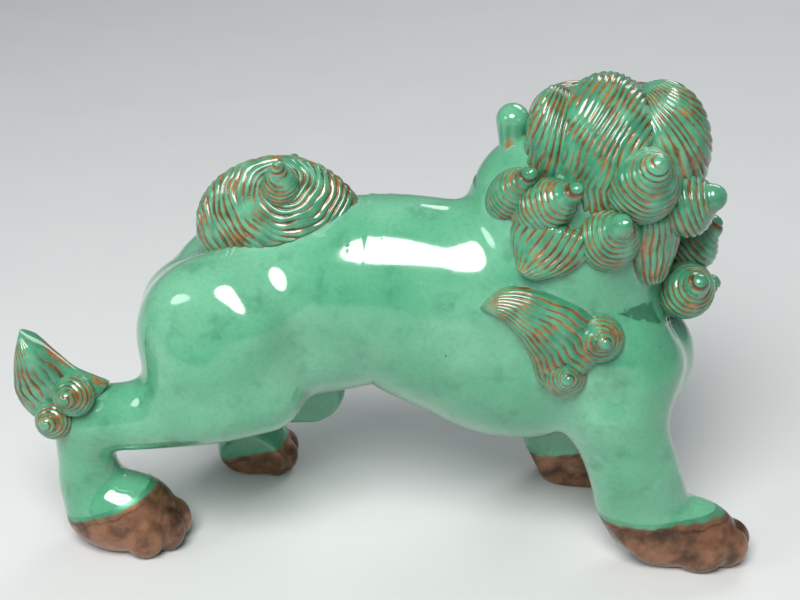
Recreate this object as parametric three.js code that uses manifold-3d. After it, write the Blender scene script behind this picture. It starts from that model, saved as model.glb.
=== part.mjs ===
// Foo dog statue: a striding guardian lion of hollow, green-glazed ceramic with its head turned left.
// Millimetres, +Z up, +X the way the body walks, +Y the lion's left side.
// Every pressed or hand-rolled piece of clay is a solid of its own, and a slip joint of JOINT_GAP
// stays open between neighbours. The origin is under the middle of the four soles.
import * as THREE from 'three';
import { mergeVertices } from 'three/addons/utils/BufferGeometryUtils.js';
import Module from 'manifold-3d';

const wasm = await Module();
wasm.setup();

// Driving dimensions
const JOINT_GAP = 0.3;
const CLAY_WALL = 6;
const AIRWAY_RADIUS = 13;
const VENT_RADIUS = 5;
const PAW_SPREAD = 29; // the paws' distance from the middle plane
const INNER_FACE = 16; // the legs' flat inner faces, from the middle plane
const INNER_FACE_TOP = 68;
const BODY_CENTRE_X = -5; // the middle of the whole statue in the modelling frame
const BODY_CENTRE_Y = 7.5;
const HEAD_X = 82;
const HEAD_Y = 4;
const HEAD_Z = 166;
const RIGHT = -1;
const LEFT = 1;

// Facets around and along each kind of piece
const TORSO_SIDES = 18;
const LEG_SIDES = 12;
const CAVITY_SIDES = 6;
const TUFT_SIDES = 8;
const BALL_SIDES = 12;
const CURL_SIDES = 8;
const SMALL_CURL_RADIUS = 9;
const DOME_ROWS = 2;

// Looks
const GLAZE = { color: 0x5fb893, roughness: 0.12, metalness: 0 };
const COMBED_GLAZE = { color: 0x7fa878, roughness: 0.16, metalness: 0 };
const BRONZE_PAINT = { color: 0x7c5c4a, roughness: 0.38, metalness: 0.6 };
const WHITE_GLAZE = { color: 0xe6e2d2, roughness: 0.14, metalness: 0 };
const RED_GLAZE = { color: 0x9c3a2c, roughness: 0.2, metalness: 0 };

// Closed three.js geometry to a manifold solid, without the duplicate vertices of its seams and poles
function toSolid(geometry) {
  geometry.deleteAttribute('normal');
  geometry.deleteAttribute('uv');
  const merged = mergeVertices(geometry, 1e-4);
  const index = merged.index.array;
  const kept = [];
  for (let i = 0; i < index.length; i += 3) {
    const [a, b, c] = [index[i], index[i + 1], index[i + 2]];
    if (a !== b && b !== c && c !== a) {
      kept.push(a, b, c);
    }
  }
  return new wasm.Manifold(new wasm.Mesh({
    numProp: 3,
    vertProperties: new Float32Array(merged.attributes.position.array),
    triVerts: new Uint32Array(kept),
  }));
}

function toGeometry(solid) {
  const mesh = solid.getMesh();
  const geometry = new THREE.BufferGeometry();
  geometry.setAttribute('position', new THREE.BufferAttribute(mesh.vertProperties, 3));
  geometry.setIndex(new THREE.BufferAttribute(mesh.triVerts, 1));
  geometry.computeVertexNormals();
  return geometry;
}

function ellipsoid(centre, radii, grow = 0, sides = BALL_SIDES) {
  const geometry = new THREE.SphereGeometry(1, sides, Math.round(sides / 2));
  geometry.rotateX(Math.PI / 2);
  geometry.scale(radii[0] + grow, radii[1] + grow, radii[2] + grow);
  geometry.translate(...centre);
  return toSolid(geometry);
}

function box(low, high) {
  const size = high.map((value, i) => value - low[i]);
  const geometry = new THREE.BoxGeometry(...size);
  geometry.translate(...low.map((value, i) => value + size[i] / 2));
  return toSolid(geometry);
}

function rod(start, end, radius) {
  const from = new THREE.Vector3(...start);
  const along = new THREE.Vector3(...end).sub(from);
  const geometry = new THREE.CylinderGeometry(radius, radius, along.length(), 12);
  geometry.translate(0, along.length() / 2, 0);
  geometry.applyQuaternion(new THREE.Quaternion().setFromUnitVectors(
    new THREE.Vector3(0, 1, 0), along.clone().normalize()));
  geometry.translate(...start);
  return toSolid(geometry);
}

// A limb is a sphere stretched along a smooth line through its stations.
// Each station is [x, y, z, half-width towards Y, half-depth across the line].
function limb(stations, sides, grow = 0) {
  const line = new THREE.CatmullRomCurve3(stations.map((s) => new THREE.Vector3(s[0], s[1], s[2])));
  const girth = new THREE.CatmullRomCurve3(stations.map((s) => new THREE.Vector3(s[3], s[4], 0)));
  const bodyRows = stations.length - 1;
  const rows = bodyRows + 2 * DOME_ROWS;
  const geometry = new THREE.SphereGeometry(1, sides, rows);
  const position = geometry.attributes.position;
  for (let row = 0; row <= rows; row += 1) {
    const bodyRow = THREE.MathUtils.clamp(row - DOME_ROWS, 0, bodyRows);
    const t = bodyRow / bodyRows;
    const pastEnd = (row - DOME_ROWS - bodyRow) / DOME_ROWS;
    const domeAngle = pastEnd * Math.PI / 2;
    const radii = girth.getPoint(t);
    const acrossRadius = radii.x + grow;
    const deepRadius = radii.y + grow;
    const tangent = line.getTangent(t);
    const across = new THREE.Vector3(0, 1, 0).addScaledVector(tangent, -tangent.y).normalize();
    const deep = new THREE.Vector3().crossVectors(tangent, across);
    const domeReach = Math.min(acrossRadius, deepRadius) * Math.sin(domeAngle);
    const ringCentre = line.getPoint(t).addScaledVector(tangent, domeReach);
    const narrowing = Math.abs(pastEnd) === 1 ? 0 : Math.cos(domeAngle);
    for (let column = 0; column <= sides; column += 1) {
      const angle = 2 * Math.PI * (column % sides) / sides;
      const point = ringCentre.clone();
      point.addScaledVector(across, -Math.cos(angle) * acrossRadius * narrowing);
      point.addScaledVector(deep, Math.sin(angle) * deepRadius * narrowing);
      position.setXYZ(row * (sides + 1) + column, point.x, point.y, point.z);
    }
  }
  return toSolid(geometry);
}

// A snail curl: a strand of clay wound up to a point, so its outline climbs in steps
function snailCurl(base, tip, radius, grow = 0) {
  const whorls = radius < SMALL_CURL_RADIUS ? 2 : 3;
  const from = new THREE.Vector3(...base);
  const along = new THREE.Vector3(...tip).sub(from);
  const height = along.length() + grow;
  const root = radius * 0.8;
  const profile = [new THREE.Vector2(0, -root - grow), new THREE.Vector2(radius * 0.75 + grow, -root * 0.6)];
  for (let whorl = 0; whorl < whorls; whorl += 1) {
    const low = whorl / whorls;
    const high = (whorl + 0.7) / whorls;
    const bulge = radius * (1 - 0.8 * low);
    profile.push(new THREE.Vector2(bulge + grow, height * low));
    profile.push(new THREE.Vector2(bulge * 0.8 + grow, height * high));
  }
  profile.push(new THREE.Vector2(0, height));
  const geometry = new THREE.LatheGeometry(profile, CURL_SIDES);
  geometry.applyQuaternion(new THREE.Quaternion().setFromUnitVectors(
    new THREE.Vector3(0, 1, 0), along.clone().normalize()));
  geometry.translate(...base);
  return toSolid(geometry);
}

function join(solids) {
  return solids.reduce((sum, solid) => sum.add(solid));
}

function sided(stations, side) {
  return stations.map(([x, y, ...rest]) => [x, y * side, ...rest]);
}

// Torso: one long shell from rump to chest
const TORSO_LINE = [
  [-88, 0, 97, 20, 22],
  [-64, 0, 97, 32, 36],
  [-38, 0, 102, 33, 39],
  [-10, 0, 109, 33, 41],
  [20, 0, 103, 35, 46],
  [48, 0, 95, 36, 50],
  [76, 0, 90, 34, 43],
  [98, 0, 80, 23, 27],
];
const AIRWAY = [[62, 0, 90], [HEAD_X, HEAD_Y, HEAD_Z]];

function torsoOutside(grow) {
  return limb(TORSO_LINE, TORSO_SIDES, grow);
}

function torsoCavity() {
  return limb(TORSO_LINE, TUFT_SIDES, -CLAY_WALL);
}

// Half a torso is pressed into each side of the mould, and the halves meet in the middle plane
function torsoHalf(side) {
  const reach = 200;
  const seam = JOINT_GAP / 2;
  const low = side === LEFT ? seam : -reach;
  const high = side === LEFT ? reach : -seam;
  const halfSpace = box([-reach, low, 0], [reach, high, reach]);
  const vent = rod([0, 0, 40], [0, 0, 100], VENT_RADIUS);
  return torsoOutside(0)
    .subtract(torsoCavity())
    .subtract(rod(...AIRWAY, AIRWAY_RADIUS))
    .subtract(vent)
    .intersect(halfSpace);
}

// Neck: an open tube from the shoulders up into the head
const NECK_LINE = [
  [62, 0, 112, 33, 40],
  [70, 1, 134, 35, 41],
  [78, 3, 156, 33, 37],
];

function neckOutside(grow) {
  return limb(NECK_LINE, LEG_SIDES, grow);
}

function neck() {
  return neckOutside(0).subtract(rod([56, 0, 60], [90, HEAD_Y, 210], 24));
}

// Head: a hollow skull and upper jaw that look towards +Y, with the mouth open below
const SKULL_RADII = [37, 34, 36];

function headOutside(grow) {
  const skull = ellipsoid([HEAD_X, HEAD_Y, HEAD_Z], SKULL_RADII, grow, 16);
  const muzzle = ellipsoid([HEAD_X, HEAD_Y + 32, HEAD_Z - 6], [26, 22, 15], grow, 14);
  const mouth = ellipsoid([HEAD_X, HEAD_Y + 44, HEAD_Z - 19], [19, 26, 9], -grow);
  return join([skull, muzzle]).subtract(mouth);
}

function head() {
  const hollow = ellipsoid([HEAD_X, HEAD_Y, HEAD_Z], SKULL_RADII, -CLAY_WALL);
  return headOutside(0).subtract(hollow).subtract(rod(...AIRWAY, AIRWAY_RADIUS));
}

// Paws: a broad pad with four toes in front, flat underneath
const TOES = 4;

function paw(centre, length, side, grow) {
  const [x, , z] = centre;
  const y = centre[1] * side;
  const padRadii = [length * 0.46, 15.5, z + 1.5];
  const pieces = [ellipsoid([x - length * 0.06, y, z], padRadii, grow)];
  for (let toe = 0; toe < TOES; toe += 1) {
    const spread = (toe - (TOES - 1) / 2) * 7.4;
    const forward = length * 0.3 - Math.abs(spread) * 0.35;
    pieces.push(ellipsoid([x + forward, y + spread, z - 3], [length * 0.2, 5.2, z - 1.5], grow, 8));
  }
  const ground = box([x - length, y - 40, -60], [x + length, y + 40, -grow]);
  return join(pieces).subtract(ground);
}

const PAWS = {
  hind_paw_right: { centre: [-115, PAW_SPREAD, 13], length: 54, side: RIGHT },
  hind_paw_left: { centre: [-70, PAW_SPREAD + 6, 11], length: 43, side: LEFT },
  fore_paw_right: { centre: [114, PAW_SPREAD, 13], length: 66, side: RIGHT },
  fore_paw_left: { centre: [86, PAW_SPREAD + 3, 12], length: 52, side: LEFT },
};

// Legs: lines that run from inside the torso down into the paw
const HIND_RIGHT_LEG = {
  side: RIGHT,
  bulge: { centre: [-70, 18, 95], radii: [37, 28, 37] },
  lines: [
    [[-54, 25, 74, 18, 16], [-78, 27, 69, 18, 17], [-102, 28, 63, 14, 15], [-124, 28, 60, 13, 14]],
    [[-128, 28, 60, 13, 14], [-128, 28, 42, 13, 16.5], [-125, 28, 26, 14, 18.5], [-122, 28, 15, 14, 19]],
  ],
};
const HIND_LEFT_LEG = {
  side: LEFT,
  bulge: { centre: [-66, 18, 94], radii: [35, 28, 36] },
  lines: [
    [[-58, 22, 82, 21, 26], [-46, 26, 64, 18, 21], [-37, 29, 48, 15, 16]],
    [[-39, 29, 49, 15, 14], [-58, 30, 46, 14, 14], [-76, 31, 46, 13, 13]],
    [[-77, 31, 46, 13, 14], [-77, 33, 30, 13, 14], [-74, 35, 17, 13, 14]],
  ],
};
const FORE_RIGHT_LEG = {
  side: RIGHT,
  bulge: { centre: [86, 18, 86], radii: [31, 22, 32] },
  lines: [
    [[88, 22, 82, 18, 25], [94, 27, 62, 15, 22], [99, 28, 42, 14, 20], [103, 28, 26, 14, 20], [106, 28, 18, 14, 18]],
  ],
};
const FORE_LEFT_LEG = {
  side: LEFT,
  bulge: { centre: [80, 18, 84], radii: [30, 22, 31] },
  lines: [
    [[74, 22, 80, 18, 25], [68, 27, 60, 15, 21], [67, 29, 42, 14, 19], [72, 31, 26, 14, 17], [76, 32, 19, 13, 16]],
  ],
};

function legOutside(leg, grow, sides = LEG_SIDES) {
  const [x, y, z] = leg.bulge.centre;
  const pieces = [ellipsoid([x, y * leg.side, z], leg.bulge.radii, grow, sides + 2)];
  for (const line of leg.lines) {
    pieces.push(limb(sided(line, leg.side), sides, grow));
  }
  const face = INNER_FACE - grow;
  return join(pieces).subtract(box([-200, -face, -50], [200, face, INNER_FACE_TOP]));
}

// Tail: a fan of combed hair curled up onto the rump, with a snail curl on each cheek
function tailPlume(grow) {
  return ellipsoid([-47, 0, 136], [35, 19, 31], grow, 18);
}

// Hock tuft: a flame of hair that sweeps up behind the heel joint
const TUFT_LINE = [
  [8, 0, -6, 12, 12],
  [-4, 0, 5, 12, 16],
  [-15, 1, 15, 10, 12],
  [-21, 3, 27, 7, 7],
  [-23, 4, 37, 3, 2.6],
];
const HOCKS = {
  right: { point: [-128, 28, 61], side: RIGHT },
  left: { point: [-77, 31, 47], side: LEFT },
};

function fromHock(hock, offset) {
  const [x, y, z] = hock.point;
  const [dx, dy, dz, ...rest] = offset;
  return [x + dx, (y + dy) * hock.side, z + dz, ...rest];
}

function hockTuft(hock, grow) {
  return limb(TUFT_LINE.map((station) => fromHock(hock, station)), TUFT_SIDES, grow);
}

// Shoulder flame: a comma of combed hair lying on the shoulder
const FLAME_LINE = [
  [36, 32, 122, 4, 3],
  [48, 33, 121, 6, 7],
  [62, 34, 113, 7, 14],
  [72, 34, 104, 7, 15],
  [74, 34, 97, 7, 13],
];

// Mane: big combed lobes over the back of the head, pointed locks below them
const MANE_LOBES = {
  mane_lobe_crown: { centre: [83, -9, 183], radii: [25, 23, 24] },
  mane_lobe_right: { centre: [101, -3, 179], radii: [17, 22, 23] },
  mane_lobe_left: { centre: [60, -4, 179], radii: [12, 17, 20] },
};
const MANE_LOCKS = {
  mane_lock_nape: [[76, -28, 151, 7, 9], [63, -30, 146, 7, 12], [53, -31, 138, 5, 7], [49, -31, 133, 2.5, 2.5]],
  mane_lock_throat: [[98, -27, 157, 7, 8], [100, -30, 145, 6, 9], [100, -31, 135, 5, 6], [99, -32, 128, 2.5, 3]],
};

// Snail curls, each [base, tip, radius]
const TAIL_CURLS = {
  tail_curl_right: [[-46, -9, 157], [-44, -19, 171], 9],
  tail_curl_left: [[-46, 14, 146], [-44, 29, 150], 10],
};
const SHOULDER_CURLS = { upper: [[79, 35, 110], [82, 45, 113], 8], lower: [[69, 35, 94], [71, 45, 96], 8] };
const HOCK_CURLS = { upper: [[-2, 6, 13], [0, 14, 16], 6.5], lower: [[-13, 6, -3], [-12, 14, 0], 6] };
const MANE_CURLS = {
  mane_curl_crown: [[90, -26, 167], [97, -46, 184], 16],
  mane_curl_right: [[109, -10, 154], [125, -19, 165], 14],
  mane_curl_nape: [[80, -27, 148], [87, -46, 160], 14],
  mane_curl_left: [[56, -22, 159], [71, -38, 171], 11],
  mane_curl_behind_ear: [[41, -13, 159], [54, -26, 172], 10],
  mane_curl_throat: [[109, -9, 117], [123, -21, 131], 12],
  mane_curl_chest: [[112, 4, 114], [130, 2, 121], 11],
  mane_curl_jaw: [[112, 8, 140], [127, 8, 147], 12],
};
const BEARD_CURLS = {
  beard_curl_right: [[98, 28, 134], [102, 44, 121], 10],
  beard_curl_middle: [[82, 30, 131], [82, 49, 117], 11],
  beard_curl_left: [[66, 28, 134], [62, 44, 121], 10],
};
const CHEEK_CURLS = {
  cheek_curl_right: [[110, 20, 160], [120, 33, 166], 11],
  cheek_curl_left: [[50, 20, 150], [42, 34, 155], 12],
};

// A row of teeth is a horseshoe of clay along the jaw's edge
function teeth(z, grow) {
  const outer = 16 + grow;
  const inner = 12 - grow;
  const outline = new THREE.Shape();
  outline.absarc(0, 0, outer, 0, Math.PI, false);
  outline.absarc(0, 0, inner, Math.PI, 0, true);
  const thickness = 5 + 2 * grow;
  const geometry = new THREE.ExtrudeGeometry(outline, { depth: thickness, bevelEnabled: false, curveSegments: 12 });
  geometry.translate(HEAD_X, HEAD_Y + 36, z - thickness / 2);
  return toSolid(geometry);
}

const statue = new THREE.Group();
const filledSpaces = [];

function touches(boxA, boxB) {
  return boxA.min.every((low, i) => low <= boxB.max[i]) && boxB.min.every((low, i) => low <= boxA.max[i]);
}

function largestBody(solid) {
  const bodies = solid.decompose();
  return bodies.reduce((best, body) => (body.volume() > best.volume() ? body : best));
}

// Sets a piece into the statue, cut back from the space that every earlier piece fills
function place(name, look, solid) {
  let fitted = solid;
  for (const space of filledSpaces) {
    if (touches(solid.boundingBox(), space.boundingBox())) {
      fitted = fitted.subtract(space);
    }
  }
  const mesh = new THREE.Mesh(toGeometry(largestBody(fitted)), new THREE.MeshStandardMaterial(look));
  mesh.name = name;
  statue.add(mesh);
}

// build(grow) gives the piece's solid, grown outwards by that much
function set(name, look, build) {
  place(name, look, build(0));
  filledSpaces.push(build(JOINT_GAP));
}

function setCurl(name, [base, tip, radius], look = COMBED_GLAZE) {
  set(name, look, (grow) => snailCurl(base, tip, radius, grow));
}

const SIDES = { right: RIGHT, left: LEFT };

for (const [word, side] of Object.entries(SIDES)) {
  place(`torso_half_${word}`, GLAZE, torsoHalf(side));
}
filledSpaces.push(torsoOutside(JOINT_GAP));
place('neck', GLAZE, neck());
filledSpaces.push(neckOutside(JOINT_GAP));
place('head', GLAZE, head());
filledSpaces.push(headOutside(JOINT_GAP));

for (const [name, { centre, length, side }] of Object.entries(PAWS)) {
  set(name, BRONZE_PAINT, (grow) => paw(centre, length, side, grow));
}

const LEGS = {
  hind_leg_right: HIND_RIGHT_LEG,
  hind_leg_left: HIND_LEFT_LEG,
  foreleg_right: FORE_RIGHT_LEG,
  foreleg_left: FORE_LEFT_LEG,
};
for (const [name, leg] of Object.entries(LEGS)) {
  place(name, GLAZE, legOutside(leg, 0).subtract(legOutside(leg, -CLAY_WALL, CAVITY_SIDES)));
  filledSpaces.push(legOutside(leg, JOINT_GAP));
}

set('tail_plume', COMBED_GLAZE, tailPlume);
for (const [name, curl] of Object.entries(TAIL_CURLS)) {
  setCurl(name, curl);
}

for (const [word, side] of Object.entries(SIDES)) {
  set(`shoulder_flame_${word}`, COMBED_GLAZE, (grow) => limb(sided(FLAME_LINE, side), TUFT_SIDES, grow));
  for (const [level, [base, tip, radius]] of Object.entries(SHOULDER_CURLS)) {
    setCurl(`shoulder_curl_${level}_${word}`, [...sided([base, tip], side), radius]);
  }
  const hock = HOCKS[word];
  set(`hock_tuft_${word}`, COMBED_GLAZE, (grow) => hockTuft(hock, grow));
  for (const [level, [base, tip, radius]] of Object.entries(HOCK_CURLS)) {
    setCurl(`hock_curl_${level}_${word}`, [fromHock(hock, base), fromHock(hock, tip), radius]);
  }
}

for (const [name, { centre, radii }] of Object.entries(MANE_LOBES)) {
  set(name, COMBED_GLAZE, (grow) => ellipsoid(centre, radii, grow, 18));
}
for (const [name, curl] of Object.entries(MANE_CURLS)) {
  setCurl(name, curl);
}
for (const [name, stations] of Object.entries(MANE_LOCKS)) {
  set(name, COMBED_GLAZE, (grow) => limb(stations, TUFT_SIDES, grow));
}
for (const [name, curl] of Object.entries({ ...CHEEK_CURLS, ...BEARD_CURLS })) {
  setCurl(name, curl);
}

// The face looks to +Y, so its right side is at +X
const FACE_SIDES = { right: { outward: 1, earX: 111 }, left: { outward: -1, earX: 45 } };
for (const [word, { outward, earX }] of Object.entries(FACE_SIDES)) {
  const eyeX = HEAD_X + outward * 13;
  set(`eye_${word}`, WHITE_GLAZE, (grow) => ellipsoid([eyeX, HEAD_Y + 34, HEAD_Z + 4], [7.5, 7.5, 7.5], grow));
  const brow = [[3, 38, 12, 4, 5], [13, 37, 15, 5, 6], [24, 30, 13, 5, 6], [30, 24, 6, 4, 4]];
  set(`brow_${word}`, COMBED_GLAZE, (grow) => limb(
    brow.map(([x, y, z, ...rest]) => [HEAD_X + outward * x, HEAD_Y + y, HEAD_Z + z, ...rest]), TUFT_SIDES, grow));
  const ear = [[earX, 3, 158, 9, 7], [earX, 5, 172, 8, 7], [earX, 6, 182, 8, 7]];
  set(`ear_${word}`, GLAZE, (grow) => limb(ear, TUFT_SIDES, grow));
}
set('nose', GLAZE, (grow) => ellipsoid([HEAD_X, HEAD_Y + 52, HEAD_Z], [10, 7, 7], grow));
set('lower_jaw', GLAZE, (grow) => ellipsoid([HEAD_X, HEAD_Y + 30, HEAD_Z - 30], [20, 24, 9], grow));
set('tongue', RED_GLAZE, (grow) => ellipsoid([HEAD_X, HEAD_Y + 36, HEAD_Z - 20], [8, 19, 4], grow));
set('lower_teeth', WHITE_GLAZE, (grow) => teeth(HEAD_Z - 22, grow));
set('upper_teeth', WHITE_GLAZE, (grow) => teeth(HEAD_Z - 13, grow));

statue.position.set(-BODY_CENTRE_X, -BODY_CENTRE_Y, 0);

export default statue;
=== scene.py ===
# Foo dog statue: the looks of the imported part. Shapes are worked out in the CAD's modelling frame
# in millimetres and turned into metres in the part's own frame when a mesh is made.
import math

import bmesh
import bpy
import numpy as np
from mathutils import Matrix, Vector, kdtree


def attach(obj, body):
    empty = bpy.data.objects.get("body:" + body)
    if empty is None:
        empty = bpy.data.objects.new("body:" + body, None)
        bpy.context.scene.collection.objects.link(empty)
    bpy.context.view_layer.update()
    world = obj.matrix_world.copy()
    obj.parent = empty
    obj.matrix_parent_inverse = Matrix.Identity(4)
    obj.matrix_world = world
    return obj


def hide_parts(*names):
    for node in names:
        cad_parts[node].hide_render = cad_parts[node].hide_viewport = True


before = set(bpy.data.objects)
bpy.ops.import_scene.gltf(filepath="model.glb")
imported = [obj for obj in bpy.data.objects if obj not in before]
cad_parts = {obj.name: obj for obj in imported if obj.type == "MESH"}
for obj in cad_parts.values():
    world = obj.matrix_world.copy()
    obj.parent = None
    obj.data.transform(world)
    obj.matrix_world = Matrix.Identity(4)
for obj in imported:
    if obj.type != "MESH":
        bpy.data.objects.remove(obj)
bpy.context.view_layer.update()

# The part's origin in the modelling frame, as part.mjs places it
ORIGIN = np.array([-5.0, 7.5, 0.0])
MM = 0.001
RIGHT = -1
LEFT = 1

# Mesh steps in millimetres
BODY_STEP = 1.3
HEAD_STEP = 1.0
PAW_STEP = 0.85


# ---------------------------------------------------------------- points, fields and meshes

def smooth_min(a, b, width):
    """The lower of two fields, blended over a stretch of that width."""
    overlap = np.maximum(width - np.abs(a - b), 0) / width
    return np.minimum(a, b) - overlap ** 3 * width / 6


def smooth_max(a, b, width):
    return -smooth_min(-a, -b, width)


def ellipsoid_field(points, centre, radii):
    """Close to the distance from an ellipsoid."""
    scaled = (points - centre) / radii
    reach = np.linalg.norm(scaled, axis=1)
    slope = np.linalg.norm(scaled / radii, axis=1)
    return reach * (reach - 1) / np.maximum(slope, 1e-6)


def spline(rows, samples):
    """A Catmull-Rom curve through the rows, sampled evenly in its parameter."""
    rows = np.asarray(rows, float)
    padded = np.vstack([2 * rows[0] - rows[1], rows, 2 * rows[-1] - rows[-2]])
    t = np.linspace(0, len(rows) - 1, samples)
    start = np.minimum(t.astype(int), len(rows) - 2)
    f = (t - start)[:, None]
    p0, p1, p2, p3 = (padded[start + i] for i in range(4))
    return 0.5 * (2 * p1 + (p2 - p0) * f + (2 * p0 - 5 * p1 + 4 * p2 - p3) * f ** 2
                  + (3 * p1 - p0 - 3 * p2 + p3) * f ** 3)


def limb_axes(centres):
    """Unit vectors along a centre line, across it towards Y, and across it in its own plane."""
    along = np.gradient(centres, axis=0)
    along /= np.linalg.norm(along, axis=1)[:, None]
    across = np.array([0.0, 1.0, 0.0]) - along * along[:, 1:2]
    across /= np.linalg.norm(across, axis=1)[:, None]
    return along, across, np.cross(along, across)


def even_steps(table, rows, columns=None):
    """A table's rows spaced evenly along the line through its first columns, and the distance along."""
    lengths = np.concatenate([[0], np.cumsum(np.linalg.norm(np.diff(table[:, :columns], axis=0), axis=1))])
    along = np.linspace(0, lengths[-1], rows)
    return np.stack([np.interp(along, lengths, column) for column in table.T], axis=1), along


class Limb:
    """A round-ended limb with an oval section. A station is [x, y, z, half-width in Y, half-depth]."""

    SAMPLES = 56
    BATCH = 20000

    def __init__(self, stations):
        table, along = even_steps(spline(stations, self.SAMPLES * 4), self.SAMPLES, 3)
        self.spacing = along[1]
        self.centres = table[:, :3]
        self.rows = np.concatenate([table, *limb_axes(self.centres)], axis=1)
        reach = table[:, 3:].max() + 14
        self.low = self.centres.min(axis=0) - reach
        self.high = self.centres.max(axis=0) + reach

    def row_at(self, place, columns=14):
        """Centre, girths and axes at a place between the samples, changing smoothly."""
        middle = np.clip(np.rint(place).astype(int), 1, self.SAMPLES - 2)
        share = (place - middle)[:, None]
        rows = self.rows[:, :columns]
        return (rows[middle - 1] * (0.5 * (0.5 - share) ** 2) + rows[middle] * (0.75 - share ** 2)
                + rows[middle + 1] * (0.5 * (0.5 + share) ** 2))

    def field(self, points):
        out = np.full(len(points), 40.0)
        near = np.all((points > self.low) & (points < self.high), axis=1)
        chosen = points[near]
        if not len(chosen):
            return out
        place = np.empty(len(chosen))
        squares = (self.centres ** 2).sum(axis=1)
        for start in range(0, len(chosen), self.BATCH):
            batch = slice(start, start + self.BATCH)
            place[batch] = (squares - 2 * chosen[batch] @ self.centres.T).argmin(axis=1)
        for _ in range(6):
            row = self.row_at(np.clip(place, 0, self.SAMPLES - 1), 8)
            slide = ((chosen - row[:, :3]) * row[:, 5:8]).sum(axis=1)
            place = np.clip(place, 0, self.SAMPLES - 1) + slide / self.spacing
        past_end = (place - np.clip(place, 0, self.SAMPLES - 1)) * self.spacing
        row = self.row_at(np.clip(place, 0, self.SAMPLES - 1))
        offset = chosen - row[:, :3]
        across = (offset * row[:, 8:11]).sum(axis=1)
        deep = (offset * row[:, 11:14]).sum(axis=1)
        wide, tall = row[:, 3], row[:, 4]
        local = np.stack([across, deep, past_end], axis=1)
        radii = np.stack([wide, tall, np.minimum(wide, tall)], axis=1)
        scaled = local / radii
        k0 = np.linalg.norm(scaled, axis=1)
        k1 = np.linalg.norm(scaled / radii, axis=1)
        out[near] = k0 * (k0 - 1) / np.maximum(k1, 1e-6)
        return out


CORNERS = np.array([[1, -1, -1], [-1, -1, 1], [-1, 1, -1], [1, 1, 1]], float)


def value_and_slope(field, points, reach=0.2):
    """A field and its slope at each point, from the four corners of a small tetrahedron."""
    samples = [field(points + corner * reach) for corner in CORNERS]
    value = sum(samples) / len(samples)
    slope = sum(sample[:, None] * corner for sample, corner in zip(samples, CORNERS))
    return value, slope / (len(samples) * reach)


def near_values(field, grid, step, block=8):
    """The field on a grid, worked out in full only in the blocks that may hold the surface."""
    values = np.empty(grid.shape[:3])
    starts = [range(0, size, block) for size in grid.shape[:3]]
    blocks = [(i, j, k) for i in starts[0] for j in starts[1] for k in starts[2]]
    spans = [tuple(slice(at, at + block) for at in corner) for corner in blocks]
    middles = np.array([grid[span].reshape(-1, 3).mean(axis=0) for span in spans])
    rough = field(middles)
    close = np.abs(rough) < block * step * 1.25
    for span, value in zip(spans, rough):
        values[span] = value
    chosen = [span for span, is_close in zip(spans, close) if is_close]
    exact = field(np.vstack([grid[span].reshape(-1, 3) for span in chosen]))
    at = 0
    for span in chosen:
        shape = values[span].shape
        size = shape[0] * shape[1] * shape[2]
        values[span] = exact[at:at + size].reshape(shape)
        at += size
    return values


def surface_of(field, low, high, step):
    """Closed quad mesh of field < 0 inside a box: one vertex for each grid cell that the surface crosses."""
    low = np.asarray(low, float)
    high = np.asarray(high, float)
    counts = np.ceil((high - low) / step).astype(int) + 3
    axes = [low[i] - step + step * np.arange(counts[i]) for i in range(3)]
    grid = np.stack(np.meshgrid(*axes, indexing="ij"), axis=-1)
    box = np.maximum(low - grid, grid - high).max(axis=3)
    values = np.maximum(near_values(field, grid, step), box)
    inside = values < 0
    nx, ny, nz = counts - 1
    corner = [(i, j, k) for i in (0, 1) for j in (0, 1) for k in (0, 1)]
    total = sum(inside[i:nx + i, j:ny + j, k:nz + k].astype(np.int8) for i, j, k in corner)
    active = (total > 0) & (total < 8)
    index = np.full(active.shape, -1)
    index[active] = np.arange(active.sum())
    cells = np.argwhere(active)
    sums = np.zeros((len(cells), 3))
    hits = np.zeros(len(cells))
    for i, j, k in corner:
        for axis in range(3):
            if (i, j, k)[axis]:
                continue
            other = [i, j, k]
            other[axis] = 1
            a = values[tuple((cells + (i, j, k)).T)]
            b = values[tuple((cells + other).T)]
            crossed = (a < 0) != (b < 0)
            share = np.where(crossed, a / np.where(crossed, a - b, 1), 0)
            point = np.tile(np.array([i, j, k], float), (len(cells), 1))
            point[:, axis] += share
            sums[crossed] += point[crossed]
            hits += crossed
    vertices = axes_low(axes) + step * (cells + sums / hits[:, None])
    quads = []
    for axis in range(3):
        size = [nx, ny, nz]
        before = inside.take(range(size[axis]), axis=axis)
        after = inside.take(range(1, size[axis] + 1), axis=axis)
        rising = np.argwhere(before != after)
        others = [i for i in range(3) if i != axis]
        keep = np.all([(rising[:, o] > 0) & (rising[:, o] < size[o]) for o in others], axis=0)
        rising = rising[keep]
        flip = before[tuple(rising.T)]
        if axis == 1:
            flip = ~flip
        ring = []
        for du, dv in ((1, 1), (0, 1), (0, 0), (1, 0)):
            cell = rising.copy()
            cell[:, others[0]] -= du
            cell[:, others[1]] -= dv
            ring.append(index[tuple(cell.T)])
        faces = np.stack(ring, axis=1)
        faces[~flip] = faces[~flip][:, ::-1]
        quads.append(faces)
    return vertices, np.vstack(quads)


def axes_low(axes):
    return np.array([axis[0] for axis in axes])


def settled(field, vertices, box_low, box_high, step):
    """Vertices moved onto the field's zero, except those on the walls of the box."""
    free = np.all((vertices > np.asarray(box_low) + step) & (vertices < np.asarray(box_high) - step), axis=1)
    moving = vertices[free]
    for _ in range(2):
        value, slope = value_and_slope(field, moving)
        push = value / np.maximum((slope ** 2).sum(axis=1), 0.2)
        moving = moving - slope * np.clip(push, -step, step)[:, None]
    vertices = vertices.copy()
    vertices[free] = moving
    return vertices


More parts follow.
